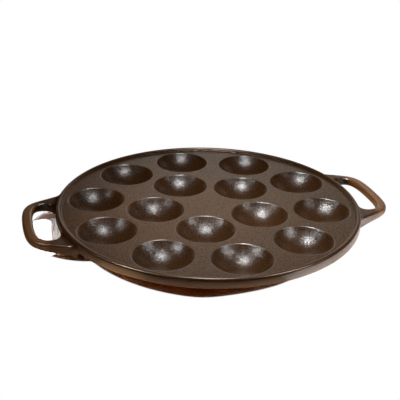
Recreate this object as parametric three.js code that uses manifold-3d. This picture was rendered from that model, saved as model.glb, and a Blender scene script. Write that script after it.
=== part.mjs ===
// Poffertjes pan: a round cast-iron griddle with fifteen shallow cups in two rings,
// a raised bead round the edge and two flat loop handles.
// Millimetres, +Z up. The origin is on the pan's axis, on the surface that it stands on.
// The handles lie along X.
import * as THREE from "three";
import { mergeVertices } from "three/addons/utils/BufferGeometryUtils.js";
import Module from "manifold-3d";

const wasm = await Module();
wasm.setup();

// Cups: shallow hollows shaped like part of a ball, with a rounded mouth and a flat foot.
const CUP_MOUTH_RADIUS = 22.3;
const CUP_DEPTH = 11.2;
const CUP_WALL = 4.2;
const CUP_EDGE_RADIUS = 1.2;
const CUP_COLLAR = 0.3;
const CUP_FOOT_RADIUS = 5;

// Plate: the flat deck that carries the cups. A web is the metal left between two cups.
const INNER_CUP_COUNT = 5;
const OUTER_CUPS_PER_INNER_CUP = 2;
const PLATE_THICKNESS = 5.3;
const INNER_WEB = 4;
const RING_WEB = 4.4;
const EDGE_WEB = 1.6;

// Rim: a round bead that stands above the plate, with a hollow fillet at its inner foot.
const BEAD_RADIUS = 2;
const BEAD_RISE = 2.4;
const BEAD_FILLET = 1.6;
const RIM_LOWER_EDGE = 1;

// Handles: flat loops whose two legs widen where they run into the rim.
const HANDLE_REACH = 25.4;
const HANDLE_SPAN = 79.4;
const HANDLE_GRIP_WIDTH = 7.9;
const HANDLE_LEG_WIDTH = 9.1;
const HANDLE_LEG_LENGTH = 6;
const HANDLE_LEG_SLOPE = 0.42;
const HANDLE_OUTER_CORNER = 9;
const HANDLE_INNER_CORNER = 6;
const HANDLE_ROOT_WIDENING = 8.4;
const HANDLE_FLARE = 2.7;
const HANDLE_THICKNESS = 5;
const HANDLE_ROOT_DEEPENING = 2;
const HANDLE_DROP = 1.3;
const HANDLE_EDGE_RADIUS = 2;

// Room between neighbouring solids.
const GAP = 0.3;

// How finely the round shapes are drawn.
const CUP_SEGMENTS = 24;
const RIM_SEGMENTS = 72;
const BOWL_STEPS = 4;
const SHELL_STEPS = 3;
const BEAD_STEPS = 7;
const FILLET_STEPS = 3;
const EDGE_STEPS = 2;
const FLARE_STEPS = 4;
const TURN_STEPS = 8;

// The ball that the cup's hollow is part of, and the outer edge of the mouth's rounding.
const bowlRadius = (CUP_MOUTH_RADIUS ** 2 + CUP_DEPTH ** 2) / (2 * CUP_DEPTH);
const bowlRise = bowlRadius - CUP_DEPTH;
const shellRadius = bowlRadius + CUP_WALL;
const mouthEdge = otherLeg(bowlRadius + CUP_EDGE_RADIUS, bowlRise + CUP_EDGE_RADIUS);
const collarRadius = mouthEdge + CUP_COLLAR;

// The feet stand at z = 0, and the height of the deck follows from the cups.
const bowlCentre = otherLeg(shellRadius, CUP_FOOT_RADIUS);
const deckTop = bowlCentre - bowlRise;
const underside = deckTop - PLATE_THICKNESS;

// Ring radii that leave the webs between the cups.
const outerCupCount = INNER_CUP_COUNT * OUTER_CUPS_PER_INNER_CUP;
const stagger = Math.PI / outerCupCount;
const innerPitch = 2 * collarRadius + INNER_WEB;
const ringPitch = 2 * collarRadius + RING_WEB;
const innerRing = innerPitch / (2 * Math.sin(Math.PI / INNER_CUP_COUNT));
const outerRing =
  innerRing * Math.cos(stagger) + otherLeg(ringPitch, innerRing * Math.sin(stagger));

// The rim goes round the outer ring. Its fillet and its bead touch without a corner.
const beadCentreRise = BEAD_RISE - BEAD_RADIUS;
const filletReach = otherLeg(BEAD_RADIUS + BEAD_FILLET, BEAD_FILLET - beadCentreRise);
const rimFoot = outerRing + collarRadius + EDGE_WEB;
const beadCentre = rimFoot + filletReach;
const rimRadius = beadCentre + BEAD_RADIUS;

// The second leg of a right triangle.
function otherLeg(longSide, leg) {
  return Math.sqrt(longSide ** 2 - leg ** 2);
}

// Points along an arc, both ends included.
function arc(x, y, radius, from, to, steps) {
  return Array.from({ length: steps + 1 }, (_, i) => {
    const angle = from + ((to - from) * i) / steps;
    return new THREE.Vector2(x + radius * Math.cos(angle), y + radius * Math.sin(angle));
  });
}

function circle(centre, radius, segments) {
  return arc(centre.x, centre.y, radius, 0, 2 * Math.PI, segments).slice(0, segments);
}

// Turns a profile in radius and height about Z.
function turned(profile, segments) {
  return new THREE.LatheGeometry(profile, segments).rotateX(Math.PI / 2);
}

function solidOf(geometry) {
  const bare = geometry.clone();
  bare.deleteAttribute("normal");
  bare.deleteAttribute("uv");
  const welded = mergeVertices(bare, 1e-4);
  const mesh = new wasm.Mesh({
    numProp: 3,
    vertProperties: new Float32Array(welded.attributes.position.array),
    triVerts: new Uint32Array(welded.index.array),
  });
  return new wasm.Manifold(mesh);
}

function geometryOf(solid) {
  const mesh = solid.getMesh();
  const geometry = new THREE.BufferGeometry();
  geometry.setAttribute("position", new THREE.BufferAttribute(mesh.vertProperties, 3));
  geometry.setIndex(new THREE.BufferAttribute(mesh.triVerts, 1));
  geometry.computeVertexNormals();
  return geometry;
}

// Centres of the cups in one ring.
function ringCentres(count, radius, firstAngle) {
  return Array.from({ length: count }, (_, i) => {
    const angle = firstAngle + (2 * Math.PI * i) / count;
    return new THREE.Vector2(radius * Math.cos(angle), radius * Math.sin(angle));
  });
}

// From the foot up the outside of the shell, over the mouth and down into the bowl.
function cupGeometry() {
  const shellEdge = Math.min(collarRadius, otherLeg(shellRadius, bowlCentre - underside));
  const shellStart = -Math.acos(CUP_FOOT_RADIUS / shellRadius);
  const shellEnd = -Math.acos(shellEdge / shellRadius);
  const mouthAngle = Math.PI - Math.atan2(bowlRise + CUP_EDGE_RADIUS, mouthEdge);
  const edgeHeight = deckTop - CUP_EDGE_RADIUS;
  const bowlStart = mouthAngle - Math.PI;
  const profile = [
    new THREE.Vector2(0, 0),
    ...arc(0, bowlCentre, shellRadius, shellStart, shellEnd, SHELL_STEPS),
    new THREE.Vector2(collarRadius, underside),
    new THREE.Vector2(collarRadius, deckTop),
    ...arc(mouthEdge, edgeHeight, CUP_EDGE_RADIUS, Math.PI / 2, mouthAngle, EDGE_STEPS),
    ...arc(0, bowlCentre, bowlRadius, bowlStart, -Math.PI / 2, BOWL_STEPS).slice(1),
  ];
  return turned(profile, CUP_SEGMENTS);
}

function plateGeometry(cupCentres) {
  const shape = new THREE.Shape(circle(new THREE.Vector2(), rimFoot - GAP, RIM_SEGMENTS));
  for (const centre of cupCentres) {
    shape.holes.push(new THREE.Path(circle(centre, collarRadius + GAP, CUP_SEGMENTS)));
  }
  const options = { depth: PLATE_THICKNESS, bevelEnabled: false };
  return new THREE.ExtrudeGeometry(shape, options).translate(0, 0, underside);
}

// From the inner foot round the lower edge, up the wall, over the bead and down the fillet.
function rimGeometry() {
  const lower = { x: rimRadius - RIM_LOWER_EDGE, y: underside + RIM_LOWER_EDGE };
  const bead = { x: beadCentre, y: deckTop + beadCentreRise };
  const fillet = { x: rimFoot, y: deckTop + BEAD_FILLET };
  const meet = Math.PI - Math.atan2(fillet.y - bead.y, filletReach);
  const profile = [
    new THREE.Vector2(rimFoot, underside),
    ...arc(lower.x, lower.y, RIM_LOWER_EDGE, -Math.PI / 2, 0, EDGE_STEPS),
    ...arc(bead.x, bead.y, BEAD_RADIUS, 0, meet, BEAD_STEPS),
    ...arc(fillet.x, fillet.y, BEAD_FILLET, meet - Math.PI, -Math.PI / 2, FILLET_STEPS).slice(1),
    new THREE.Vector2(rimFoot, underside),
  ];
  return turned(profile, RIM_SEGMENTS);
}

// One side of a handle seen from above, from inside the rim out to the middle of the grip.
function rimToGrip({ root, leg, slope, grip, corner }) {
  const bend = rimRadius + HANDLE_LEG_LENGTH;
  const atRim = new THREE.Vector2(otherLeg(rimRadius, root), root);
  const inRim = atRim.clone().setLength(beadCentre - HANDLE_EDGE_RADIUS);
  const onLeg = (x) => new THREE.Vector2(x, leg + slope * (bend - x));
  const gripStart = new THREE.Vector2(grip, leg - corner);
  const gripMiddle = new THREE.Vector2(grip, 0);
  const flare = new THREE.QuadraticBezierCurve(atRim, onLeg(atRim.x + HANDLE_FLARE), onLeg(bend));
  const turn = new THREE.CubicBezierCurve(
    onLeg(bend),
    onLeg(grip - corner / 2),
    gripStart,
    gripMiddle,
  );
  return [inRim, ...flare.getPoints(FLARE_STEPS), ...turn.getPoints(TURN_STEPS).slice(1)];
}

// Tilts the underside of a handle down from the grip to the rim.
function deepenRoots(loop, middle) {
  const points = loop.attributes.position;
  for (let i = 0; i < points.count; i += 1) {
    if (points.getZ(i) < middle) {
      const inward = (rimRadius + HANDLE_REACH - points.getX(i)) / HANDLE_REACH;
      points.setZ(i, points.getZ(i) - HANDLE_ROOT_DEEPENING * inward);
    }
  }
}

// The loop on the +X side, with its edges rounded and its roots cut to the rim.
function handleGeometry() {
  const outerLeg = HANDLE_SPAN / 2;
  const innerLeg = outerLeg - HANDLE_LEG_WIDTH;
  const outerGrip = rimRadius + HANDLE_REACH;
  const outer = rimToGrip({
    root: outerLeg + HANDLE_ROOT_WIDENING,
    leg: outerLeg,
    slope: HANDLE_LEG_SLOPE,
    grip: outerGrip,
    corner: HANDLE_OUTER_CORNER,
  });
  const inner = rimToGrip({
    root: innerLeg - HANDLE_ROOT_WIDENING,
    leg: innerLeg,
    slope: 0,
    grip: outerGrip - HANDLE_GRIP_WIDTH,
    corner: HANDLE_INNER_CORNER,
  });
  const mirrored = (points) => points.map(({ x, y }) => new THREE.Vector2(x, -y));
  const outline = [
    ...outer,
    ...mirrored(outer).reverse().slice(1),
    ...mirrored(inner),
    ...inner.toReversed().slice(1),
  ];
  const middle = deckTop - HANDLE_DROP - HANDLE_THICKNESS / 2;
  const flat = HANDLE_THICKNESS - 2 * HANDLE_EDGE_RADIUS;
  const loop = new THREE.ExtrudeGeometry(new THREE.Shape(outline), {
    depth: flat,
    bevelThickness: HANDLE_EDGE_RADIUS,
    bevelSize: HANDLE_EDGE_RADIUS,
    bevelOffset: -HANDLE_EDGE_RADIUS,
    bevelSegments: FILLET_STEPS,
  }).translate(0, 0, middle - flat / 2);
  deepenRoots(loop, middle);
  const rootRadius = rimRadius + GAP;
  const rimSpace = new THREE.CylinderGeometry(rootRadius, rootRadius, 2 * deckTop, RIM_SEGMENTS);
  rimSpace.rotateX(Math.PI / 2);
  return geometryOf(solidOf(loop).subtract(solidOf(rimSpace)));
}

const pan = new THREE.Group();
pan.name = "poffertjes_pan";

function add(name, geometry) {
  const material = new THREE.MeshStandardMaterial({
    color: 0x4a3b32,
    roughness: 0.6,
    metalness: 0.3,
  });
  const mesh = new THREE.Mesh(geometry, material);
  mesh.name = name;
  pan.add(mesh);
  return mesh;
}

const innerCentres = ringCentres(INNER_CUP_COUNT, innerRing, Math.PI);
const outerCentres = ringCentres(outerCupCount, outerRing, Math.PI + stagger);
const cup = cupGeometry();
const handle = handleGeometry();

add("griddle_plate", plateGeometry([...innerCentres, ...outerCentres]));
add("rim_bead", rimGeometry());
for (const [ring, centres] of Object.entries({ inner: innerCentres, outer: outerCentres })) {
  centres.forEach((centre, i) => {
    const number = String(i + 1).padStart(2, "0");
    add(`cup_${ring}_${number}`, cup.clone()).position.set(centre.x, centre.y, 0);
  });
}
add("handle_right", handle);
add("handle_left", handle.clone()).rotation.z = Math.PI;

export default pan;
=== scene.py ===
# %% [markdown]
# # A cast-iron poffertjes pan
# The real pan is a single iron casting: a round plate with fifteen shallow cups, a raised rim and
# two flat loop handles, baked dark brown with oil. The frame holds it as nineteen plain solids that
# lie a hair apart. This lesson makes one fine mesh for each of them. Neighbouring meshes end on the
# same circle and at the same slope, so that the eye reads one casting with no seam.

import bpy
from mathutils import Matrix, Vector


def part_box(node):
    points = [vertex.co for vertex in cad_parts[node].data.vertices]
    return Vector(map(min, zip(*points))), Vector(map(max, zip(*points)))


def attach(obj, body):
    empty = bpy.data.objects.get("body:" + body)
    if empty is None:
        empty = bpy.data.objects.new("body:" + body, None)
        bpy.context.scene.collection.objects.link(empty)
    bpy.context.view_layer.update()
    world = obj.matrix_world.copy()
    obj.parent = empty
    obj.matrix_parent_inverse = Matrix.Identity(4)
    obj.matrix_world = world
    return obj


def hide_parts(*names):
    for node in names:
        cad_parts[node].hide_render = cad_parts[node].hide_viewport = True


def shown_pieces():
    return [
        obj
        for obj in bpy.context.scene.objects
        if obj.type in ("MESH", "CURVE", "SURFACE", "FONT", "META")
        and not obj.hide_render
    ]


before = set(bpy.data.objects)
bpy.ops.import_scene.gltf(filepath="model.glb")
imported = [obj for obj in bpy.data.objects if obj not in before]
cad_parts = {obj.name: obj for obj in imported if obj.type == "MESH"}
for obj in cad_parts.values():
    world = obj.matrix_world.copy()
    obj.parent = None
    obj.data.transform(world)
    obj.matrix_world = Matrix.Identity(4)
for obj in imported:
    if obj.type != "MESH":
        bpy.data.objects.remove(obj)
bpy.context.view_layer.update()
print("nodes in the frame:", len(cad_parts))

# %% [markdown]
# ## Measure before drawing
# A pattern maker reads the drawing first. Here the frame is the drawing: the height of the deck, the
# height and width of the rim and the width of a cup are measured on its solids and not typed again.
# Blender counts in metres and a pan is drawn in millimetres, so MM turns millimetres into metres.

# %% Measure the frame
import math

import bmesh
import bpy
import numpy as np
from mathutils import Matrix, Vector

MM = 0.001

plate_low, plate_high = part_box("griddle_plate")
rim_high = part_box("rim_bead")[1]
cup_low, cup_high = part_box("cup_inner_01")
deck_top = plate_high.z
underside = plate_low.z
rim_radius = rim_high.x
collar_radius = (cup_high.x - cup_low.x) / 2
print(f"deck {deck_top / MM:.2f} mm up, rim {2 * rim_radius / MM:.1f} mm across")

# %% [markdown]
# ## Turned shapes
# Cups and rim are round, so each is a profile turned about an upright axis, as on a lathe or a
# potter's wheel. Blender's Screw modifier could do it. Doing it by hand keeps every circle on the
# same angles, so that two pieces that end on one circle share its points exactly.

# %% Arcs, circles and turning
ROUND_SEGMENTS = 96
RIM_SEGMENTS = 360


def arc(centre, radius, start, end, steps):
    """Points on an arc in a plane, both ends included, with its angles in radians."""
    angles = np.linspace(start, end, steps + 1)
    return [(centre[0] + radius * math.cos(a), centre[1] + radius * math.sin(a)) for a in angles]


def circle(centre, radius, segments):
    """Points once round a circle, without the first one again at the end."""
    return arc(centre, radius, 0, 2 * math.pi, segments)[:-1]


def turned(profile, centre, segments, closed=False):
    """Points and faces of a profile of (radius, height) pairs, which ends on the axis or is closed."""
    points = []
    rings = []
    for radius, height in profile:
        ring = circle(centre, radius, segments) if radius > 0 else [centre]
        rings.append(range(len(points), len(points) + len(ring)))
        points += [(x, y, height) for x, y in ring]
    faces = []
    # A closed profile has one more band of faces, from its last ring back to the first.
    for low, high in zip(rings, rings[1:] + rings[:closed]):
        for i in range(segments):
            j = (i + 1) % segments
            corners = [low[i % len(low)], low[j % len(low)], high[j % len(high)], high[i % len(high)]]
            faces.append(list(dict.fromkeys(corners)))
    return points, faces


print("a cup is turned in", ROUND_SEGMENTS, "steps and the rim in", RIM_SEGMENTS)

# %% [markdown]
# ## What sticks out gets rubbed
# Years of wiping, scouring and stacking polish the edges of a pan: the crest of the rim, the mouths of
# the cups, the grips. Cycles has a Pointiness value for that, but it also marks the hidden corners
# where two pieces meet. So the bend of the skin is measured here, from each point to its neighbours,
# and the hidden corners are left out. The shader reads the result as an attribute named rubbed.

# %% Measure the bend of a skin
CREASE = math.radians(38)
BEND_START = 0.04 / MM
BEND_FULL = 0.2 / MM


def read(items, name, width, kind):
    """One property of many mesh items as a table with a row for each."""
    values = np.empty(len(items) * width, kind)
    items.foreach_get(name, values)
    return values.reshape(len(items), width)


def how_rubbed(mesh):
    """For each point, 0 on flat or hollow iron and 1 on an edge that stands out."""
    points = read(mesh.vertices, "co", 3, np.float32)
    normals = read(mesh.vertices, "normal", 3, np.float32)
    ends = read(mesh.edges, "vertices", 2, np.int32)
    creased = read(mesh.edges, "use_edge_sharp", 1, bool)[:, 0]
    bend = np.zeros(len(points))
    # Along an edge the skin bends by twice its drop from the level at its start, over its length squared.
    for here, there in (ends.T, ends.T[::-1]):
        away = points[there] - points[here]
        np.add.at(bend, here, -2 * (normals[here] * away).sum(1) / (away**2).sum(1))
    bend /= np.bincount(ends.ravel(), minlength=len(points))
    bend[ends[creased].ravel()] = 0
    return np.clip((bend - BEND_START) / (BEND_FULL - BEND_START), 0, 1)


print(f"full polish where the skin bends tighter than {1 / BEND_FULL / MM:.0f} mm")

# %% [markdown]
# ## From points to a piece
# Each piece rides on the pan's one body and hides the plain solid that it stands for. Faces that meet
# at less than the crease angle are shaded as one smooth skin. Every object stays at the origin with
# its place in its mesh, so that a pattern in object space runs on from one piece to the next.

# %% Make a piece
def add_piece(name, node, points, faces):
    """Adds a closed mesh that takes the place of one CAD node."""
    mesh = bpy.data.meshes.new(name)
    mesh.from_pydata(points, [], faces)
    shell = bmesh.new()
    shell.from_mesh(mesh)
    bmesh.ops.recalc_face_normals(shell, faces=shell.faces)
    shell.to_mesh(mesh)
    shell.free()
    mesh.polygons.foreach_set("use_smooth", [True] * len(mesh.polygons))
    mesh.set_sharp_from_angle(angle=CREASE)
    mesh.attributes.new("rubbed", "FLOAT", "POINT").data.foreach_set("value", how_rubbed(mesh))
    piece = bpy.data.objects.new(name, mesh)
    bpy.context.collection.objects.link(piece)
    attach(piece, "root")
    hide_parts(node)


print("creases show above", round(math.degrees(CREASE)), "degrees")

# %% [markdown]
# ## The cups
# A cup is a shallow part of a ball, so that a small pancake turns over in it with one flick of a
# skewer. Its mouth is rounded over onto the deck, and underneath it stands on a flat foot and runs
# into the plate with a hollow fillet, because molten iron cracks at a sharp inner corner. The points
# where these round stretches meet are worked out first. Each is in line with the centres of both
# stretches, which gives a right triangle whose long side is the sum of two radii.

# %% Where the arcs of a cup meet
CUP_MOUTH_RADIUS = 22.3 * MM
CUP_DEPTH = 11.2 * MM
CUP_WALL = 4.2 * MM
CUP_EDGE_RADIUS = 1.2 * MM
CUP_FOOT_RADIUS = 5 * MM
CUP_ROOT_FILLET = 4 * MM


def other_leg(long_side, leg):
    """The second leg of a right triangle."""
    return math.sqrt(long_side**2 - leg**2)


bowl_radius = (CUP_MOUTH_RADIUS**2 + CUP_DEPTH**2) / (2 * CUP_DEPTH)
bowl_rise = bowl_radius - CUP_DEPTH
bowl_centre = (0, deck_top + bowl_rise)
shell_radius = bowl_radius + CUP_WALL
mouth_edge = other_leg(bowl_radius + CUP_EDGE_RADIUS, bowl_rise + CUP_EDGE_RADIUS)
mouth_angle = math.pi - math.atan2(bowl_rise + CUP_EDGE_RADIUS, mouth_edge)

fillet_drop = bowl_centre[1] - underside + CUP_ROOT_FILLET
fillet_out = other_leg(shell_radius + CUP_ROOT_FILLET, fillet_drop)
fillet_angle = math.atan2(fillet_drop, fillet_out)
foot_angle = math.acos(CUP_FOOT_RADIUS / shell_radius)
print(f"the bowl is part of a ball of {bowl_radius / MM:.1f} mm radius")

# %% [markdown]
# Now the whole profile is one list, from the middle of the foot, up the outside, over the mouth and
# down to the middle of the bowl. The fillet ends under the plate, and its hidden top steps up a little,
# out of the plate's own underside.

# %% Profile of a cup
HIDDEN_STEP = 0.2 * MM
SHELL_STEPS = 16
BOWL_STEPS = 28
ROUNDING_STEPS = 8

cup_profile = [
    (0, 0),
    *arc(bowl_centre, shell_radius, -foot_angle, -fillet_angle, SHELL_STEPS),
    *arc((fillet_out, underside - CUP_ROOT_FILLET), CUP_ROOT_FILLET,
         math.pi - fillet_angle, math.pi / 2, ROUNDING_STEPS)[1:],
    (collar_radius, underside + HIDDEN_STEP),
    (collar_radius, deck_top),
    *arc((mouth_edge, deck_top - CUP_EDGE_RADIUS), CUP_EDGE_RADIUS,
         math.pi / 2, mouth_angle, ROUNDING_STEPS),
    *arc(bowl_centre, bowl_radius, mouth_angle - math.pi, -math.pi / 2, BOWL_STEPS)[1:-1],
    (0, deck_top - CUP_DEPTH),
]
print("points in the profile:", len(cup_profile))

# %% [markdown]
# The frame says where each cup is. A cup is turned on its own axis, in place, once for each node.

# %% Turn the cups
cup_nodes = sorted(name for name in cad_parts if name.startswith("cup_"))
cup_centres = []
for node in cup_nodes:
    low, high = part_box(node)
    centre = ((low.x + high.x) / 2, (low.y + high.y) / 2)
    cup_centres.append(centre)
    points, faces = turned(cup_profile, centre, ROUND_SEGMENTS)
    add_piece(f"cast_{node}", node, points, faces)
print("cups made:", len(cup_nodes))

# %% [markdown]
# ## The plate
# The deck is the flat iron that is left between the cups. A boolean could cut fifteen holes into a
# disc, but it leaves slivers. Blender can also fill the space between closed loops of edges, so the
# rim's foot and the cups' collars are drawn as loops, filled once, and the sheet is given its thickness.
# How far out the rim's foot lies follows from the bead's radius and the fillet that leads up to it.

# %% Fill the deck between the circles
BEAD_RADIUS = 2 * MM
BEAD_FILLET = 1.6 * MM

bead_rise = rim_high.z - deck_top
bead_centre = (rim_radius - BEAD_RADIUS, rim_high.z - BEAD_RADIUS)
bead_lift = bead_rise - BEAD_RADIUS
fillet_reach = other_leg(BEAD_RADIUS + BEAD_FILLET, BEAD_FILLET - bead_lift)
rim_foot = bead_centre[0] - fillet_reach

deck = bmesh.new()
loops = [circle((0, 0), rim_foot, RIM_SEGMENTS)]
loops += [circle(centre, collar_radius, ROUND_SEGMENTS) for centre in cup_centres]
for loop in loops:
    corners = [deck.verts.new((x, y, deck_top)) for x, y in loop]
    for a, b in zip(corners, corners[1:] + corners[:1]):
        deck.edges.new((a, b))
bmesh.ops.triangle_fill(deck, edges=deck.edges, use_beauty=True, normal=(0, 0, 1))
lower = bmesh.ops.extrude_face_region(deck, geom=deck.faces[:], use_keep_orig=True)["geom"]
lowered = [v for v in lower if isinstance(v, bmesh.types.BMVert)]
bmesh.ops.translate(deck, verts=lowered, vec=(0, 0, underside - deck_top))
deck.verts.index_update()
plate_points = [tuple(v.co) for v in deck.verts]
plate_faces = [[v.index for v in face.verts] for face in deck.faces]
deck.free()
add_piece("cast_plate", "griddle_plate", plate_points, plate_faces)
print("the deck reaches", round(rim_foot / MM, 2), "mm out, in", len(plate_faces), "faces")

# %% [markdown]
# ## The rim
# A round bead runs along the edge, which stiffens the plate and keeps butter in. It rises from the
# deck in a hollow fillet, rolls over the crest and drops down a plain wall to a rounded lower edge.
# It is turned as a cup is, but from a closed profile, since it stays clear of the axis.

# %% Turn the rim
RIM_LOWER_EDGE = 1 * MM
BEAD_STEPS = 24
BEAD_FILLET_STEPS = 12

meeting = math.pi - math.atan2(BEAD_FILLET - bead_lift, fillet_reach)
lower_edge = (rim_radius - RIM_LOWER_EDGE, underside + RIM_LOWER_EDGE)
rim_profile = [
    (rim_foot, underside),
    *arc(lower_edge, RIM_LOWER_EDGE, -math.pi / 2, 0, ROUNDING_STEPS),
    *arc(bead_centre, BEAD_RADIUS, 0, meeting, BEAD_STEPS),
    *arc((rim_foot, deck_top + BEAD_FILLET), BEAD_FILLET,
         meeting - math.pi, -math.pi / 2, BEAD_FILLET_STEPS)[1:],
]
points, faces = turned(rim_profile, (0, 0), RIM_SEGMENTS, closed=True)
add_piece("cast_rim", "rim_bead", points, faces)
print("the bead stands", round(bead_rise / MM, 2), "mm above the deck")

# %% [markdown]
# ## The handles
# A handle is a flat loop with rounded edges whose legs widen and deepen into the rim. The hard part is
# the root, where it melts into the bead with no line at all. A bevel can't round a corner between two
# curved bodies well. A distance field can: each body is a number for every point of space, negative
# inside, and a soft minimum of two such numbers joins the bodies with a fillet everywhere at once.
# First come the widths of the loop as seen from above. How far it reaches out is measured.

# %% Widths of a handle
HANDLE_SPAN = 79.4 * MM
HANDLE_GRIP_WIDTH = 7.9 * MM
HANDLE_LEG_WIDTH = 9.1 * MM

handle_low, handle_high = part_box("handle_right")
outer_leg = HANDLE_SPAN / 2
inner_leg = outer_leg - HANDLE_LEG_WIDTH
outer_grip = handle_high.x
inner_grip = outer_grip - HANDLE_GRIP_WIDTH
hole_length = inner_grip - rim_radius
print(f"the hole is {2 * inner_leg / MM:.1f} mm wide and reaches {hole_length / MM:.1f} mm past the rim")

# %% [markdown]
# One side of the loop runs from the rim to the middle of the grip: it flares out of the rim, follows
# the leg and turns into the grip. Flare and turn are Bezier curves, which leave and arrive along their
# end lines, as a bent strip does.

# %% One side of a handle
HANDLE_LEG_LENGTH = 6 * MM
HANDLE_FLARE = 2.7 * MM
FLARE_STEPS = 16
TURN_STEPS = 40


def bezier(controls, steps):
    """Points along a Bezier curve of any degree."""
    share = np.linspace(0, 1, steps + 1)[:, None]
    level = [np.array(point, float) for point in controls]
    while len(level) > 1:
        level = [(1 - share) * a + share * b for a, b in zip(level, level[1:])]
    return level[0]


def rim_to_grip(root, leg, slope, grip, corner):
    """One side of the loop: from inside the rim, along the flare and the leg, round to the grip."""
    bend = rim_radius + HANDLE_LEG_LENGTH
    at_rim = Vector((other_leg(rim_radius, root), root))
    in_rim = at_rim * (bead_centre[0] - BEAD_RADIUS) / rim_radius

    def on_leg(x):
        """The point of the leg's straight line at x."""
        return (x, leg + slope * (bend - x))

    flare = bezier([at_rim, on_leg(at_rim.x + HANDLE_FLARE), on_leg(bend)], FLARE_STEPS)
    round_corner = [on_leg(bend), on_leg(grip - corner / 2), (grip, leg - corner), (grip, 0)]
    turn = bezier(round_corner, TURN_STEPS)
    return np.vstack([[in_rim], flare, turn[1:]])


print("a side has", FLARE_STEPS, "steps in its flare and", TURN_STEPS, "in its turn")

# %% [markdown]
# The outline is two such sides, an outer and an inner one, and their mirror images. The outer side of
# a leg spreads towards the rim and the inner side runs straight, so the leg is widest at its root.

# %% Outline of a handle
HANDLE_LEG_SLOPE = 0.42
HANDLE_OUTER_CORNER = 9 * MM
HANDLE_INNER_CORNER = 6 * MM
HANDLE_ROOT_WIDENING = 8.4 * MM
MIRROR = np.array([1, -1])

outer_side = rim_to_grip(outer_leg + HANDLE_ROOT_WIDENING, outer_leg, HANDLE_LEG_SLOPE,
                         outer_grip, HANDLE_OUTER_CORNER)
inner_side = rim_to_grip(inner_leg - HANDLE_ROOT_WIDENING, inner_leg, 0,
                         inner_grip, HANDLE_INNER_CORNER)
handle_outline = np.vstack([
    outer_side,
    (outer_side * MIRROR)[-2::-1],
    inner_side * MIRROR,
    inner_side[-2::-1],
])
print("the outline has", len(handle_outline), "points")

# %% [markdown]
# The distance from a point to a closed outline is the least distance to any of its straight stretches.
# A line drawn from the point to one side tells whether it is inside: then the line crosses the outline
# an odd number of times.

# %% Distance to an outline
def distance_to_outline(points, outline):
    """Distance from points in a plane to a closed outline, negative inside it."""
    nearest = np.full(len(points), np.inf)
    inside = np.zeros(len(points), bool)
    for start, end in zip(outline, np.roll(outline, -1, axis=0)):
        along = end - start
        offset = points - start
        share = np.clip(offset @ along / (along @ along), 0, 1)
        nearest = np.minimum(nearest, np.linalg.norm(offset - share[:, None] * along, axis=1))
        spans = (start[1] > points[:, 1]) != (end[1] > points[:, 1])
        height = np.where(along[1] == 0, 1, along[1])
        inside ^= spans & (offset[:, 0] < along[0] * offset[:, 1] / height)
    return np.where(inside, -nearest, nearest)


grip_middle = np.array([[(inner_grip + outer_grip) / 2, 0]])
grip_depth = -distance_to_outline(grip_middle, handle_outline)[0]
print(f"the middle of the grip lies {grip_depth / MM:.2f} mm inside the outline")

# %% [markdown]
# The field of the loop comes from the distance to its outline and the distance to its middle height.
# Its top is level and its underside falls towards the rim, so that the legs are deepest at the root.

# %% Field of the loop
HANDLE_THICKNESS = 5 * MM
HANDLE_ROOT_DEEPENING = 3.2 * MM
HANDLE_EDGE_RADIUS = 2 * MM


def loop_field(x, plan_distance, z):
    """The loop: an upright wall on its outline, cut flat above, tilted below, with rounded edges."""
    inward = (outer_grip - x) / (outer_grip - rim_radius)
    bottom = handle_high.z - HANDLE_THICKNESS - HANDLE_ROOT_DEEPENING * inward
    sideways = plan_distance + HANDLE_EDGE_RADIUS
    middle = (handle_high.z + bottom) / 2
    upright = np.abs(z - middle) - (handle_high.z - bottom) / 2 + HANDLE_EDGE_RADIUS
    outside = np.hypot(np.maximum(sideways, 0), np.maximum(upright, 0))
    return outside + np.minimum(np.maximum(sideways, upright), 0) - HANDLE_EDGE_RADIUS


root_thickness = HANDLE_THICKNESS + HANDLE_ROOT_DEEPENING
print(f"a handle is {HANDLE_THICKNESS / MM:.1f} mm thick, and {root_thickness / MM:.1f} mm at the rim")

# %% [markdown]
# Both fields are filled in on a grid of points around one handle. The field of the rim comes from the
# distance to its profile, since a turned body looks the same at every angle. The rim is drawn a trace
# too small here, so that only the fillet shows outside it, and is cut off a little way from the loop.

# %% Field of a handle
ROOT_FILLET = 4 * MM
ROOT_REACH = 1.3 * ROOT_FILLET
RIM_INSET = 0.03 * MM
FIELD_STEP = 0.45 * MM
FIELD_MARGIN = 2 * MM


def soft_minimum(a, b, reach):
    """The smaller of two fields, with a fillet where they are less than reach apart."""
    nearness = np.maximum(reach - np.abs(a - b), 0) / reach
    return np.minimum(a, b) - nearness**2 * reach / 4


reach = ROOT_REACH + FIELD_MARGIN
field_low = np.array([*handle_outline.min(0), handle_low.z]) - reach
field_high = np.array([*handle_outline.max(0), rim_high.z]) + reach
grid_lines = [np.arange(a, b, FIELD_STEP) for a, b in zip(field_low, field_high)]
grid_x, grid_y, grid_z = np.meshgrid(*grid_lines, indexing="ij")
plan = np.stack([grid_x[:, :, 0], grid_y[:, :, 0]], -1).reshape(-1, 2)
plan_distance = distance_to_outline(plan, handle_outline).reshape(grid_x.shape[:2])
loop_distance = loop_field(grid_x, plan_distance[:, :, None], grid_z)

around_rim = np.stack([np.hypot(grid_x, grid_y), grid_z], -1).reshape(-1, 2)
rim_outline = np.array(rim_profile)
rim_distance = distance_to_outline(around_rim, rim_outline).reshape(grid_x.shape) + RIM_INSET
joined = soft_minimum(loop_distance, rim_distance, ROOT_FILLET)
handle_field = np.maximum(joined, loop_distance - ROOT_REACH)
print("points in the field:", handle_field.size)

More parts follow.
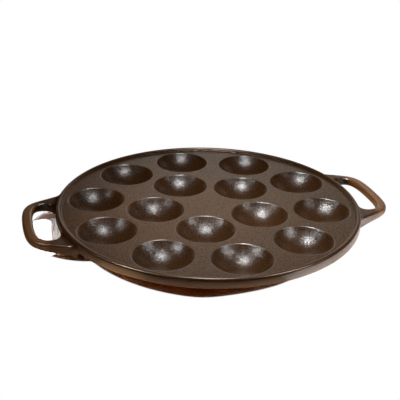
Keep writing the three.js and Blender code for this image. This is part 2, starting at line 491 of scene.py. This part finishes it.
# %% [markdown]
# A surface net draws the skin of a field. Every cell that the skin crosses gets one point, at the mean
# of the places where the skin cuts the cell's edges, and every edge that is cut gets one four-sided
# face, between the four cells around it. The faces are even in size, which suits a cast surface.

# %% Skin of a field
def surface_net(field, low, step):
    """Points and faces of the surface where the field is zero."""
    cells = np.array(field.shape) - 1
    total = np.zeros((*cells, 3))
    count = np.zeros(cells)
    cut_edges = []
    for axis in range(3):
        here, there = (np.delete(field, end, axis) for end in (-1, 0))
        cut = np.argwhere((here < 0) != (there < 0))
        a = here[tuple(cut.T)]
        b = there[tuple(cut.T)]
        crossing = cut.astype(float)
        crossing[:, axis] += a / (a - b)
        around = np.repeat(cut[:, None, :], 4, axis=1)
        around[:, :, (axis + 1) % 3] += (-1, 0, 0, -1)
        around[:, :, (axis + 2) % 3] += (-1, -1, 0, 0)
        # Where an edge runs into the body its face is turned round, so that all faces look out.
        around[a >= 0] = around[a >= 0, ::-1]
        for corner in range(4):
            cell = tuple(around[:, corner].T)
            np.add.at(total, cell, crossing)
            np.add.at(count, cell, 1)
        cut_edges.append(around)
    used = count > 0
    index = np.cumsum(used).reshape(used.shape) - 1
    points = low + step * total[used] / count[used][:, None]
    corners = np.vstack(cut_edges)
    faces = index[tuple(np.moveaxis(corners, -1, 0))]
    return points, faces


handle_points, handle_faces = surface_net(handle_field, field_low, FIELD_STEP)
print("a handle has", len(handle_faces), "faces")

# %% [markdown]
# The left handle is the right one after half a turn of the pan. Mirroring would do as well, but it
# turns a mesh inside out, and half a turn doesn't.

# %% Both handles
HALF_TURN = np.array([-1, -1, 1])

add_piece("cast_handle_right", "handle_right", handle_points.tolist(), handle_faces.tolist())
add_piece("cast_handle_left", "handle_left", (handle_points * HALF_TURN).tolist(), handle_faces.tolist())
print("both handles together have", 2 * len(handle_faces), "faces")

# %% [markdown]
# ## Seasoned cast iron
# Sand-cast iron keeps the fine pebble of the sand that it was poured into. Oil is then baked onto it,
# which leaves a thin hard varnish. So the eye sees a dark brown, not a grey metal, with a satin
# gloss that breaks into sparks where a lamp is mirrored, because each grain tilts its own way.
# The varnish does the mirroring, so the shader is not metallic and has the IOR of baked oil.

# %% Colour and node helpers
MIDDLE_GREY = "#808080"


def srgb(code):
    """An sRGB hex colour, by that standard's formula, as the linear colour and alpha of a shader."""
    channels = [int(code[i:i + 2], 16) / 255 for i in (1, 3, 5)]
    linear = [c / 12.92 if c <= 0.04045 else ((c + 0.055) / 1.055) ** 2.4 for c in channels]
    return (*linear, 1)


def add_node(tree, kind, inputs, **settings):
    """Adds a node, sets its properties, and fills each input with a value or a link."""
    node = tree.nodes.new(kind)
    for name, value in settings.items():
        setattr(node, name, value)
    for name, value in inputs.items():
        if isinstance(value, bpy.types.NodeSocket):
            tree.links.new(value, node.inputs[name])
        else:
            node.inputs[name].default_value = value
    return node


def new_tree(owner):
    """The node tree of a material or a world, emptied."""
    owner.use_nodes = True
    owner.node_tree.nodes.clear()
    return owner.node_tree


print("the middle grey", MIDDLE_GREY, "is", round(srgb(MIDDLE_GREY)[0], 3), "in linear light")

# %% [markdown]
# Three patterns make the finish. Sand grain is really about 0.3 mm and would be lost between the
# pixels, so it is drawn almost three times as coarse, which is as fine as still shows. Slow swells some
# millimetres wide stand for the uneven mould. Blotches some centimetres wide are where the oil lay
# thicker. An image could hold them, but noise in object space needs no seams and runs on from piece to
# piece, at a scale that follows from the size in millimetres.

# %% Grain, swells and blotches
GRAIN_SIZE = 0.8 * MM
SWELL_SIZE = 9 * MM
BLOTCH_SIZE = 35 * MM
SOFT_DETAIL = 1
RAGGED_DETAIL = 4
BROWN = {0.3: "#351f0b", 0.7: "#3d250d"}

iron = bpy.data.materials.new("seasoned_sand_cast_iron")
tree = new_tree(iron)
place = add_node(tree, "ShaderNodeTexCoord", {}).outputs["Object"]
patterns = []
for size, detail in ((GRAIN_SIZE, SOFT_DETAIL), (SWELL_SIZE, SOFT_DETAIL), (BLOTCH_SIZE, RAGGED_DETAIL)):
    noise = add_node(tree, "ShaderNodeTexNoise", {"Vector": place, "Scale": 1 / size, "Detail": detail})
    patterns.append(noise.outputs["Fac"])
grain, swell, blotch = patterns
brown = add_node(tree, "ShaderNodeValToRGB", {"Fac": blotch})
for element, (position, code) in zip(brown.color_ramp.elements, BROWN.items()):
    element.position = position
    element.color = srgb(code)
sizes = [round(size / MM, 1) for size in (GRAIN_SIZE, SWELL_SIZE, BLOTCH_SIZE)]
print("sizes of grain, swells and blotches in millimetres:", *sizes)

# %% [markdown]
# The colour is not the same all over, partly from wear of the coat and partly from painted light and
# shade, so the shader has to know what part of the pan it is on. Vertex colours could be painted by
# hand. Working from height and distance keeps the colour exact on all pieces: what lies as far from the
# pan's axis as the wall of the rim, or farther, is outside, and what lies farther out than a handle's
# hole is gripped.

# %% Parts of the pan
LEVEL = (1, 1, 0)
COAT_EDGE = 0.4 * MM
GRIP_EDGE = 6 * MM

along = add_node(tree, "ShaderNodeSeparateXYZ", {"Vector": place})
flat = add_node(tree, "ShaderNodeVectorMath", {0: place, 1: LEVEL}, operation="MULTIPLY")
from_axis = add_node(tree, "ShaderNodeVectorMath", {0: flat.outputs["Vector"]}, operation="LENGTH")
outside = add_node(tree, "ShaderNodeMapRange", {
    "Value": from_axis.outputs["Value"],
    "From Min": rim_radius - COAT_EDGE,
    "From Max": rim_radius,
}).outputs["Result"]
gripped = add_node(tree, "ShaderNodeMapRange", {
    "Value": from_axis.outputs["Value"],
    "From Min": inner_grip - GRIP_EDGE,
    "From Max": inner_grip,
}).outputs["Result"]
print(f"outside starts {rim_radius / MM:.1f} mm from the axis, a grip {inner_grip / MM:.1f} mm")

# %% [markdown]
# Past the crest the wall is drawn darker just below the bead and lighter towards the bottom: painted
# shade under the bead and a painted reflection of the lit table on the lower wall. Hands wear the grips
# lighter still.

# %% Painted light on the wall outside
DARK_BELOW_BEAD = 0.5 * MM
LIGHT_ABOVE_UNDERSIDE = 2 * MM
WALL_PAINTED_LIGHT_TIMES = 2.8
WORN_TIMES = 6.2

worn = add_node(tree, "ShaderNodeMapRange", {"Value": gripped, "To Min": 1, "To Max": WORN_TIMES})
# Painted light: darker just below the bead and lighter towards the bottom, a painted reflection of the
# lit table.
wall_painted_light = add_node(tree, "ShaderNodeMapRange", {
    "Value": along.outputs["Z"],
    "From Min": bead_centre[1] - DARK_BELOW_BEAD,
    "From Max": underside + LIGHT_ABOVE_UNDERSIDE,
    "To Min": 1,
    "To Max": WALL_PAINTED_LIGHT_TIMES,
})
# The lighter of the worn grips and the painted light on the wall.
worn_or_painted_light = add_node(tree, "ShaderNodeMath", {
    0: worn.outputs["Result"],
    1: wall_painted_light.outputs["Result"],
}, operation="MAXIMUM")
print("the grips are", WORN_TIMES, "times as light as the thickest coat")

# %% [markdown]
# Little gets into a loop to rub there, and the loop lies in shade. So the sides of the legs that face
# the hole, and the wall of the rim between them, keep the dark coat of the deck: less wear, and painted
# shade, since the painted light of the wall is left off there. That is all that lies neither beside the
# hole nor past its end.

# %% Dark coat and painted shade inside the loops
LOOP_EDGE = 2 * MM

from_middle = add_node(tree, "ShaderNodeMath", {0: along.outputs["Y"]}, operation="ABSOLUTE")
on_leg = add_node(tree, "ShaderNodeMapRange", {
    "Value": from_middle.outputs["Value"],
    "From Min": inner_leg,
    "From Max": inner_leg + LOOP_EDGE,
})
on_grip = add_node(tree, "ShaderNodeMapRange", {
    "Value": from_axis.outputs["Value"],
    "From Min": inner_grip - LOOP_EDGE,
    "From Max": inner_grip,
})
beside_or_past_hole = add_node(tree, "ShaderNodeMath", {
    0: on_leg.outputs["Result"],
    1: on_grip.outputs["Result"],
}, operation="MAXIMUM")
# Painted shade: inside a loop the lightening of wear and of the wall's painted light is left off.
loop_wear_and_shade = add_node(tree, "ShaderNodeMapRange", {
    "Value": beside_or_past_hole.outputs["Value"],
    "To Min": 1,
    "To Max": worn_or_painted_light.outputs["Value"],
})
print(f"the thick coat reaches {inner_leg / MM:.1f} mm to both sides of a loop's middle")

# %% [markdown]
# Inside the rim, the left of the deck is drawn a little lighter: a painted pool of light. The cups are
# left out of it and stay dark. Distance from the middle of the pool gives the first, and stretching the
# height before measuring gives the second: a cup's wall is then far away.

# %% Painted pool of light on the deck
PAINTED_POOL_CENTRE = (-80 * MM, 0, deck_top)
PAINTED_POOL_STRETCH = (1, 1, 30)
PAINTED_POOL_NEAR = 30 * MM
PAINTED_POOL_FAR = 130 * MM
PAINTED_POOL_TIMES = 1.75

steep = add_node(tree, "ShaderNodeVectorMath", {0: place, 1: PAINTED_POOL_STRETCH}, operation="MULTIPLY")
from_pool_middle = add_node(tree, "ShaderNodeVectorMath", {
    0: steep.outputs["Vector"],
    1: Vector(PAINTED_POOL_CENTRE) * Vector(PAINTED_POOL_STRETCH),
}, operation="DISTANCE")
# Painted light: the deck is lit up near the pool's middle, and this fades out towards its edge.
painted_pool = add_node(tree, "ShaderNodeMapRange", {
    "Value": from_pool_middle.outputs["Value"],
    "From Min": PAINTED_POOL_NEAR,
    "From Max": PAINTED_POOL_FAR,
    "To Min": PAINTED_POOL_TIMES,
    "To Max": 1,
})
times = add_node(tree, "ShaderNodeMapRange", {
    "Value": outside,
    "To Min": painted_pool.outputs["Result"],
    "To Max": loop_wear_and_shade.outputs["Result"],
})
# The coat's brown, lightened by wear and by the painted light and shade.
coat_and_painted_light = add_node(tree, "ShaderNodeHueSaturation", {
    "Color": brown.outputs["Color"],
    "Value": times.outputs["Result"],
})
print("the hot spot is", PAINTED_POOL_TIMES, "times as light as the thickest coat")

# %% [markdown]
# On the deck and in the cups the coat is thick on some grains and thin on others, so the gloss goes up
# and down with the grain and a mirrored lamp falls apart into sparks. Outside, the wall and the grips
# are worn smooth and have an even gloss, which is highest on the grips and on rubbed edges.

# %% Sparks and worn gloss
GRAIN_LOW = 0.36
GRAIN_HIGH = 0.64
SPARK_LOW = 0.1
SPARK_HIGH = 1.1
WALL_GLOSS = 0.85
GRIP_GLOSS = 1.6

rubbed = add_node(tree, "ShaderNodeAttribute", {}, attribute_name="rubbed").outputs["Fac"]
spark = add_node(tree, "ShaderNodeMapRange", {
    "Value": grain,
    "From Min": GRAIN_LOW,
    "From Max": GRAIN_HIGH,
    "To Min": SPARK_LOW,
    "To Max": SPARK_HIGH,
})
touched = add_node(tree, "ShaderNodeMath", {0: gripped, 1: rubbed}, operation="MAXIMUM")
held = add_node(tree, "ShaderNodeMapRange", {
    "Value": touched.outputs["Value"],
    "To Min": WALL_GLOSS,
    "To Max": GRIP_GLOSS,
})
print("gloss from", SPARK_LOW, "between grains to", GRIP_GLOSS, "on the grips")

# %% [markdown]
# Rubbed edges inside have an even gloss too, so a crest draws a clean bright line where the deck only
# glitters. Cloths scour the rim most, and the varnish left in its pores is thin and brown. So the rim
# has less gloss than the cups' mouths, and what it mirrors is tinted warm.

# %% Gloss of the edges
MOUTH_GLOSS = 1.45
CREST_GLOSS = 0.92
CREST_TINT = "#ffe4d0"

past_foot = add_node(tree, "ShaderNodeMapRange", {
    "Value": from_axis.outputs["Value"],
    "From Min": rim_foot - COAT_EDGE,
    "From Max": rim_foot,
}).outputs["Result"]
edged = add_node(tree, "ShaderNodeMapRange", {
    "Value": past_foot,
    "To Min": MOUTH_GLOSS,
    "To Max": CREST_GLOSS,
})
even = add_node(tree, "ShaderNodeMapRange", {
    "Value": outside,
    "To Min": edged.outputs["Result"],
    "To Max": held.outputs["Result"],
})
smooth = add_node(tree, "ShaderNodeMath", {0: rubbed, 1: outside}, operation="MAXIMUM")
varnish = add_node(tree, "ShaderNodeMix", {
    "Factor": smooth.outputs["Value"],
    "A": spark.outputs["Result"],
    "B": even.outputs["Result"],
})
on_rim = add_node(tree, "ShaderNodeMath", {0: past_foot, 1: outside}, operation="SUBTRACT")
tinted = add_node(tree, "ShaderNodeHueSaturation", {
    "Color": srgb(CREST_TINT),
    "Saturation": on_rim.outputs["Value"],
})
print("gloss of a cup's mouth", MOUTH_GLOSS, "and of the rim's crest", CREST_GLOSS)

# %% [markdown]
# Relief comes last. Each grain tilts its own way, so the grain is a bump on top of the slow swells, and
# rubbing takes most of it off. Real displacement of grains this small would need millions of faces.

# %% Relief and skin
GRAIN_HEIGHT = 0.155 * MM
SWELL_HEIGHT = 0.015 * MM
RUBBED_RELIEF = 0.3
ROUGHNESS = 0.29
BAKED_OIL_IOR = 1.55

relief = add_node(tree, "ShaderNodeMapRange", {"Value": rubbed, "To Min": 1, "To Max": RUBBED_RELIEF})
swelled = add_node(tree, "ShaderNodeBump", {"Height": swell, "Distance": SWELL_HEIGHT})
grained = add_node(tree, "ShaderNodeBump", {
    "Strength": relief.outputs["Result"],
    "Height": grain,
    "Distance": GRAIN_HEIGHT,
    "Normal": swelled.outputs["Normal"],
})
skin = add_node(tree, "ShaderNodeBsdfPrincipled", {
    "Base Color": coat_and_painted_light.outputs["Color"],
    "Roughness": ROUGHNESS,
    "IOR": BAKED_OIL_IOR,
    "Specular IOR Level": varnish.outputs["Result"],
    "Specular Tint": tinted.outputs["Color"],
    "Normal": grained.outputs["Normal"],
})
add_node(tree, "ShaderNodeOutputMaterial", {"Surface": skin.outputs["BSDF"]})
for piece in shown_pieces():
    piece.data.materials.clear()
    piece.data.materials.append(iron)

# %% [markdown]
# ## The table
# A photographer's white table is bright enough to lose its own edge, but it keeps the pan's shadow.
# One large sheet is enough for it. It lies a trace under the feet, so that no foot lies in it.

# %% White table
TABLE_HALF = 3.0
TABLE_GAP = 0.1 * MM

table_mesh = bpy.data.meshes.new("white_table")
corners = ((-1, -1), (1, -1), (1, 1), (-1, 1))
table_points = [(TABLE_HALF * x, TABLE_HALF * y, -TABLE_GAP) for x, y in corners]
table_mesh.from_pydata(table_points, [], [(0, 1, 2, 3)])
table = bpy.data.objects.new("white_table", table_mesh)
bpy.context.collection.objects.link(table)
print("the table is", 2 * TABLE_HALF, "m wide")

# %% [markdown]
# Simply lighting the table until it is white would flood the iron as well. So it is white by itself,
# but only for rays that are seen, straight or mirrored. A ray that has left a matt surface finds
# plain paper. Cycles tells a shader what kind of ray it answers through the Light Path node.

# %% Rays that are seen
MIRRORED_OR_THROUGH = ("Is Glossy Ray", "Is Transmission Ray")


def seen_rays(tree, rays):
    """1 for a ray that is seen: from the camera, mirrored or through glass, but not off matt paper."""
    seen = rays.outputs["Is Camera Ray"]
    for kind in MIRRORED_OR_THROUGH:
        either = add_node(tree, "ShaderNodeMath", {0: seen, 1: rays.outputs[kind]}, operation="MAXIMUM")
        seen = either.outputs["Value"]
    return add_node(tree, "ShaderNodeMath", {
        0: seen,
        1: rays.outputs["Diffuse Depth"],
    }, operation="SUBTRACT", use_clamp=True).outputs["Value"]


print("seen besides camera rays:", *MIRRORED_OR_THROUGH, sep="\n    ")

# %% [markdown]
# The table is matt paper only where the shadow lies: inside the overlap of three circles under the
# pan, with soft corners, and in a circle under the left handle. One number tells how far a point lies
# outside that patch, and from it comes the fade to white. The iron mirrors the white only farther
# out, since near the pan it would mirror its own shade.

# %% Edge of the shadow
PAN_SHADOW = (
    ((6.9 * MM, -4.4 * MM, 0), 112.7 * MM),
    ((-20.4 * MM, 66.7 * MM, 0), 176.9 * MM),
    ((-60 * MM, 0, 0), 139 * MM),
)
PAN_SHADOW_CORNERS = (5 * MM, 15 * MM)
HANDLE_SHADOW = ((-91.8 * MM, 5.4 * MM, 0), 50 * MM)
SHADOW_EDGE = 1.5 * MM
MIRROR_LAG = 150 * MM

paper = bpy.data.materials.new("matt_white_paper")
tree = new_tree(paper)
place = add_node(tree, "ShaderNodeTexCoord", {}).outputs["Object"]
rays = add_node(tree, "ShaderNodeLightPath", {})
by_camera = rays.outputs["Is Camera Ray"]
edges = []
for centre, reach in (*PAN_SHADOW, HANDLE_SHADOW):
    away = add_node(tree, "ShaderNodeVectorMath", {0: place, 1: centre}, operation="DISTANCE")
    edge = add_node(tree, "ShaderNodeMath", {0: away.outputs["Value"], 1: reach}, operation="SUBTRACT")
    edges.append(edge.outputs["Value"])
overlap = edges[0]
for edge, corner in zip(edges[1:], PAN_SHADOW_CORNERS):
    softer = add_node(tree, "ShaderNodeMath", {0: overlap, 1: edge, 2: corner}, operation="SMOOTH_MAX")
    overlap = softer.outputs["Value"]
patch = add_node(tree, "ShaderNodeMath", {0: overlap, 1: edges[-1]}, operation="MINIMUM")
lag = add_node(tree, "ShaderNodeMapRange", {"Value": by_camera, "To Min": MIRROR_LAG, "To Max": 0})
past = add_node(tree, "ShaderNodeMath", {
    0: patch.outputs["Value"],
    1: lag.outputs["Result"],
}, operation="SUBTRACT")
fade = add_node(tree, "ShaderNodeMapRange", {
    "Value": past.outputs["Value"],
    "From Min": 0,
    "From Max": SHADOW_EDGE,
}, interpolation_type="SMOOTHSTEP")
print("circles that hold the shadow:", len(edges))

# %% [markdown]
# Light that bounces between paper and brown iron turns brown, so the iron sees warm paper. A real room
# also throws some light into a shadow, which the dark room here doesn't. So for the camera the shaded
# paper is some times lighter, warm deep in the shadow and neutral at its outline. Last, the matt paper
# is mixed with the white.

# %% Matt white paper
PAPER_FOR_IRON = "#d8b898"
SHADOW_PAPER = "#ffbf86"
SHADOW_DEEP = -4 * MM
SHADOW_TIMES = 3.5
PENUMBRA_TIMES = 5

deep = add_node(tree, "ShaderNodeMapRange", {
    "Value": overlap,
    "From Min": 0,
    "From Max": SHADOW_DEEP,
})
shaded = add_node(tree, "ShaderNodeMix", {
    "Factor": deep.outputs["Result"],
    "A": [PENUMBRA_TIMES] * 4,
    "B": [SHADOW_TIMES * c for c in srgb(SHADOW_PAPER)],
}, data_type="RGBA")
white = add_node(tree, "ShaderNodeMix", {
    "Factor": by_camera,
    "A": srgb(PAPER_FOR_IRON),
    "B": shaded.outputs["Result"],
}, data_type="RGBA")
matt = add_node(tree, "ShaderNodeBsdfDiffuse", {"Color": white.outputs["Result"]})
glow = add_node(tree, "ShaderNodeEmission", {"Strength": 1.0})
seen = seen_rays(tree, rays)
share = add_node(tree, "ShaderNodeMath", {0: seen, 1: fade.outputs["Result"]}, operation="MULTIPLY")
both = add_node(tree, "ShaderNodeMixShader", {
    0: share.outputs["Value"],
    1: matt.outputs["BSDF"],
    2: glow.outputs["Emission"],
})
add_node(tree, "ShaderNodeOutputMaterial", {"Surface": both.outputs["Shader"]})
table.data.materials.append(paper)
print("the camera sees shaded paper", SHADOW_TIMES, "to", PENUMBRA_TIMES, "times as light as it is lit")

# %% [markdown]
# ## The room
# Past the table is a pale backdrop, and above it the room is dark. At a low angle the deck mirrors the
# backdrop and looks paler than the cups, whose walls mirror the dark. Only mirrored and seen rays meet
# the backdrop. Matt surfaces get a faint warm fill instead, so that shadows stay deep.

# %% Backdrop and fill
BACKDROP_TOP = math.radians(3)
DARK_FROM = math.radians(9)
WHITE = "#ffffff"
DARK_ROOM = "#2a1d12"
WARM_FILL = "#ff833f"
FILL_STRENGTH = 0.02

world = bpy.data.worlds.new("studio")
bpy.context.scene.world = world
tree = new_tree(world)
place = add_node(tree, "ShaderNodeTexCoord", {}).outputs["Generated"]
height = add_node(tree, "ShaderNodeSeparateXYZ", {"Vector": place}).outputs["Z"]
band = add_node(tree, "ShaderNodeMapRange", {
    "Value": height,
    "From Min": math.sin(BACKDROP_TOP),
    "From Max": math.sin(DARK_FROM),
}, interpolation_type="SMOOTHSTEP")
walls = add_node(tree, "ShaderNodeMix", {
    "Factor": band.outputs["Result"],
    "A": srgb(WHITE),
    "B": srgb(DARK_ROOM),
}, data_type="RGBA")
rays = add_node(tree, "ShaderNodeLightPath", {})
backdrop = add_node(tree, "ShaderNodeBackground", {"Color": walls.outputs["Result"]})
fill = add_node(tree, "ShaderNodeBackground", {"Color": srgb(WARM_FILL), "Strength": FILL_STRENGTH})
both = add_node(tree, "ShaderNodeMixShader", {
    0: seen_rays(tree, rays),
    1: fill.outputs["Background"],
    2: backdrop.outputs["Background"],
})
add_node(tree, "ShaderNodeOutputWorld", {"Surface": both.outputs["Shader"]})
print("backdrop up to", round(math.degrees(BACKDROP_TOP)), "degrees")

# %% [markdown]
# ## Black cards
# Photographers stand black cards around shiny things, to draw a dark line along an edge. Here three
# are bent around the pan: a tall one at its left, a low one close behind the rim and one close in
# front. The rim mirrors them beside its crest, which makes the crest stand out. Only mirrored rays
# meet them: the camera looks through them, and they neither shade nor tint matt surfaces. Of each card
# the distance from the pan's axis, the height, and the angles of both ends in degrees are given.

# %% Black cards
CARD_STEPS = 30
VELVET = "#1c0c04"
CARDS = {
    "card_left": (220 * MM, 120 * MM, 140, 228),
    "card_behind": (140 * MM, 20 * MM, 20, 165),
    "card_front": (146 * MM, 45 * MM, 225, 290),
}

velvet = bpy.data.materials.new("black_velvet_card")
tree = new_tree(velvet)
pile = add_node(tree, "ShaderNodeBsdfDiffuse", {"Color": srgb(VELVET)})
add_node(tree, "ShaderNodeOutputMaterial", {"Surface": pile.outputs["BSDF"]})
for name, (reach, top, start, end) in CARDS.items():
    line = arc((0, 0), reach, math.radians(start), math.radians(end), CARD_STEPS)
    points = [(x, y, z) for z in (0, top) for x, y in line]
    faces = [(i, i + 1, i + len(line) + 1, i + len(line)) for i in range(CARD_STEPS)]
    card_mesh = bpy.data.meshes.new(name)
    card_mesh.from_pydata(points, [], faces)
    card_mesh.materials.append(velvet)
    card = bpy.data.objects.new(name, card_mesh)
    card.visible_camera = False
    card.visible_diffuse = False
    card.visible_shadow = False
    bpy.context.collection.objects.link(card)
    print(name, round(top / MM), "mm high, in", len(faces), "faces")

# %% [markdown]
# ## The lamps
# One lamp above the pan does most of the lighting and makes the bright glint in each cup. A faint one
# over the camera spreads that glint upwards in the inner cups, and narrow ones high at both sides put
# a small glint beside it in the front cups. The rest light next to nothing, but the iron mirrors
# them: the deck gets its sheen from a panel behind, the right grip and the cups' left walls from two
# beside the pan, and the wall from four small ones that lie on the table and shine up.
# Of a high lamp these are given: its place and aim in metres, half the angle of its beam in degrees,
# its width, level and colour. A low one has no aim or beam of its own. The level tells about how
# brightly a lamp lights a sheet that faces it. At 1 a white sheet renders white, and together they
# come to a little more than that in the middle of the deck.

# %% Places of the lamps
ALL_ROUND = 90
HIGH_LAMPS = {
    "lamp_above": ((0.002, -0.011, 0.426), (0.048, -0.006, deck_top), 31, 0.08, 1.1, WHITE),
    "lamp_front": ((-0.1, -0.22, 0.46), (0.03, 0.03, deck_top), 14, 0.12, 0.088, WHITE),
    "lamp_right": ((0.365, -0.283, 0.480), (0.03, -0.1, deck_top), 12, 0.18, 0.72, WHITE),
    "lamp_left": ((-0.759, -0.101, 0.898), (-0.03, -0.108, deck_top), 7.6, 0.2, 0.68, WHITE),
    "lamp_behind": ((0.59, 1.91, 0.83), (0, 0, deck_top), ALL_ROUND, 0.95, 0.040, "#fff2e2"),
    "lamp_side": ((0.337, 0.362, 0.196), (0.14, 0.0, deck_top), 10, 0.12, 0.014, "#fff8ee"),
    "lamp_beside": ((0.53, 0.41, 0.333), (0.02, 0.05, deck_top), 12, 0.3, 0.04, "#fff4e6"),
}
LOW_LAMPS = {
    "lamp_low_front": (0.065, -0.127, 0.06, 0.1, WHITE),
    "lamp_low_right": (0.122, -0.08, 0.09, 0.15, WHITE),
    "lamp_low_leg": (0.15, -0.052, 0.05, 0.05, WHITE),
    "lamp_low_left": (-0.109, -0.091, 0.05, 0.042, "#ffcc98"),
}
LOW_LAMP_HEIGHT = 0.001
LOW_LAMP_AIM = 0.1

lamps = dict(HIGH_LAMPS)
for name, (x, y, size, level, colour) in LOW_LAMPS.items():
    lamps[name] = ((x, y, LOW_LAMP_HEIGHT), (x, y, LOW_LAMP_AIM), ALL_ROUND, size, level, colour)
print("lamps:", len(lamps))

# %% [markdown]
# Blender wants the power of a lamp in watts. For one level a lamp twice as far away needs four times
# the power, and a narrow beam needs less than a wide one, because all the power is gathered into it.
# Power could be found by trial, but then each move of a lamp would change its level.

# %% Switch the lamps on
for name, (stand, aim, beam, size, level, colour) in lamps.items():
    light = bpy.data.lights.new(name, "AREA")
    light.shape = "DISK"
    light.size = size
    half = math.radians(beam)
    light.spread = 2 * half
    light.color = srgb(colour)[:3]
    towards = Vector(aim) - Vector(stand)
    light.energy = level * math.pi**2 * towards.length_squared * (1 - half / math.tan(half))
    holder = bpy.data.objects.new(name, light)
    holder.location = stand
    holder.rotation_euler = towards.to_track_quat("-Z", "Y").to_euler()
    holder.visible_camera = False
    bpy.context.collection.objects.link(holder)
    print(f"{name} {1000 * light.energy:.1f} mW")

# %% [markdown]
# ## The camera
# The camera stands in front and a little to the left, about 25 degrees above the deck, and is rolled
# by a degree and a half, as a hand-held one is. These values were fitted to the rims of the cups.

# %% Camera
CAMERA_TARGET = Vector((-0.0043, 0.0096, 0.0150))
CAMERA_DISTANCE = 0.6428
CAMERA_AZIMUTH = math.radians(-15.5)
CAMERA_ELEVATION = math.radians(25.08)
CAMERA_ROLL = math.radians(1.61)
CAMERA_LENS = 71.8
CAMERA_NEAR = 10 * MM

back = Vector((
    math.sin(CAMERA_AZIMUTH) * math.cos(CAMERA_ELEVATION),
    -math.cos(CAMERA_AZIMUTH) * math.cos(CAMERA_ELEVATION),
    math.sin(CAMERA_ELEVATION),
))
facing = (-back).to_track_quat("-Z", "Y").to_matrix() @ Matrix.Rotation(CAMERA_ROLL, 3, "Z")
camera = bpy.data.objects.new("camera", bpy.data.cameras.new("camera"))
camera.data.lens = CAMERA_LENS
camera.data.clip_start = CAMERA_NEAR
camera.location = CAMERA_TARGET + CAMERA_DISTANCE * back
camera.rotation_euler = facing.to_euler()
bpy.context.collection.objects.link(camera)
bpy.context.scene.camera = camera
bpy.context.scene.view_settings.view_transform = "Standard"
print("camera at", [round(c, 3) for c in camera.location])
